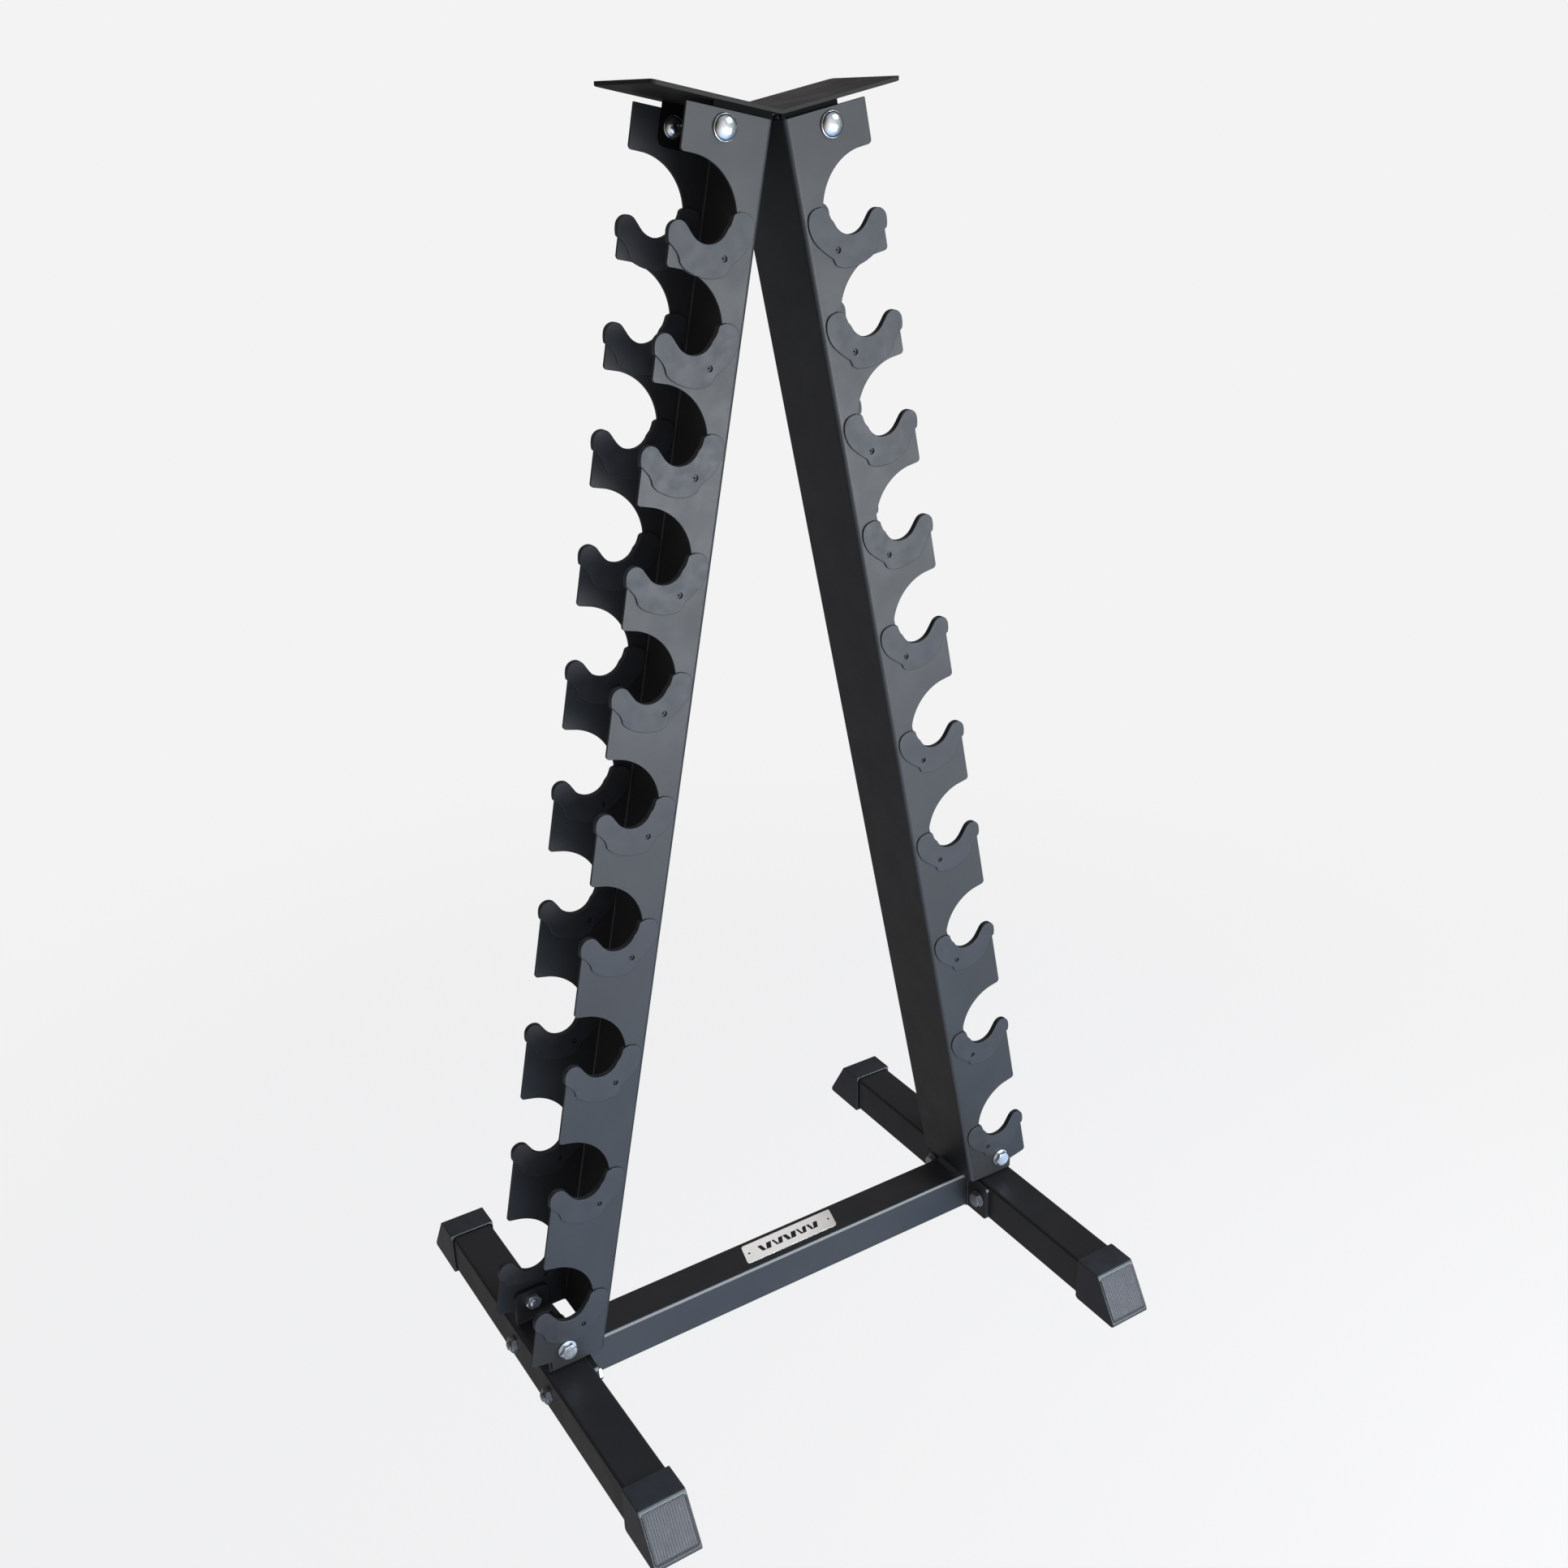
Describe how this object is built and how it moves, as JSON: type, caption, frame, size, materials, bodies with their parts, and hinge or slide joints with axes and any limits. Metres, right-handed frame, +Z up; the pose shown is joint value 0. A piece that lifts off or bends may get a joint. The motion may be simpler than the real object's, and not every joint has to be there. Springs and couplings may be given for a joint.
{
  "type": "dumbbell rack",
  "caption": "Upright A-frame dumbbell rack: two notched channels with lined cradles, a V-shaped top plate and a bolted H-shaped base.",
  "frame": {"origin": "floor level, under the middle of the rack's bounding box", "axes": "+Z up; -Y is the front, the side with the information plate's readable direction; +X to the right seen from the front"},
  "size_m": [0.6994, 0.5938, 1.3622],
  "materials": {
    "black_powder_coat": "satin black powder coat on folded sheet and square tube",
    "liner_plastic": "moulded, fine matt texture",
    "cap_plastic": "moulded, matt",
    "chrome_plate": "polished plate",
    "zinc_plate": "bright zinc plate",
    "silver_label": "satin, blank"
  },
  "bodies": {
    "root": {"cap_left_front": "cap_plastic", "cap_left_rear": "cap_plastic", "cap_right_front": "cap_plastic", "cap_right_rear": "cap_plastic", "crossbar": "black_powder_coat", "foot_left": "black_powder_coat", "foot_right": "black_powder_coat", "info_plate": "silver_label", "liner_left_front_01": "liner_plastic", "liner_left_front_02": "liner_plastic", "liner_left_front_03": "liner_plastic", "liner_left_front_04": "liner_plastic", "liner_left_front_05": "liner_plastic", "liner_left_front_06": "liner_plastic", "liner_left_front_07": "liner_plastic", "liner_left_front_08": "liner_plastic", "liner_left_front_09": "liner_plastic", "liner_left_front_10": "liner_plastic", "liner_left_rear_01": "liner_plastic", "liner_left_rear_02": "liner_plastic", "liner_left_rear_03": "liner_plastic", "liner_left_rear_04": "liner_plastic", "liner_left_rear_05": "liner_plastic", "liner_left_rear_06": "liner_plastic", "liner_left_rear_07": "liner_plastic", "liner_left_rear_08": "liner_plastic", "liner_left_rear_09": "liner_plastic", "liner_left_rear_10": "liner_plastic", "liner_right_front_01": "liner_plastic", "liner_right_front_02": "liner_plastic", "liner_right_front_03": "liner_plastic", "liner_right_front_04": "liner_plastic", "liner_right_front_05": "liner_plastic", "liner_right_front_06": "liner_plastic", "liner_right_front_07": "liner_plastic", "liner_right_front_08": "liner_plastic", "liner_right_front_09": "liner_plastic", "liner_right_front_10": "liner_plastic", "liner_right_rear_01": "liner_plastic", "liner_right_rear_02": "liner_plastic", "liner_right_rear_03": "liner_plastic", "liner_right_rear_04": "liner_plastic", "liner_right_rear_05": "liner_plastic", "liner_right_rear_06": "liner_plastic", "liner_right_rear_07": "liner_plastic", "liner_right_rear_08": "liner_plastic", "liner_right_rear_09": "liner_plastic", "liner_right_rear_10": "liner_plastic", "low_bolt_left_front": "zinc_plate", "low_bolt_left_rear": "zinc_plate", "low_bolt_right_front": "zinc_plate", "low_bolt_right_rear": "zinc_plate", "top_bolt_left_front": "chrome_plate", "top_bolt_left_rear": "chrome_plate", "top_bolt_right_front": "chrome_plate", "top_bolt_right_rear": "chrome_plate", "top_plate": "black_powder_coat", "upright_left": "black_powder_coat", "upright_right": "black_powder_coat"}
  },
  "joints": []
}
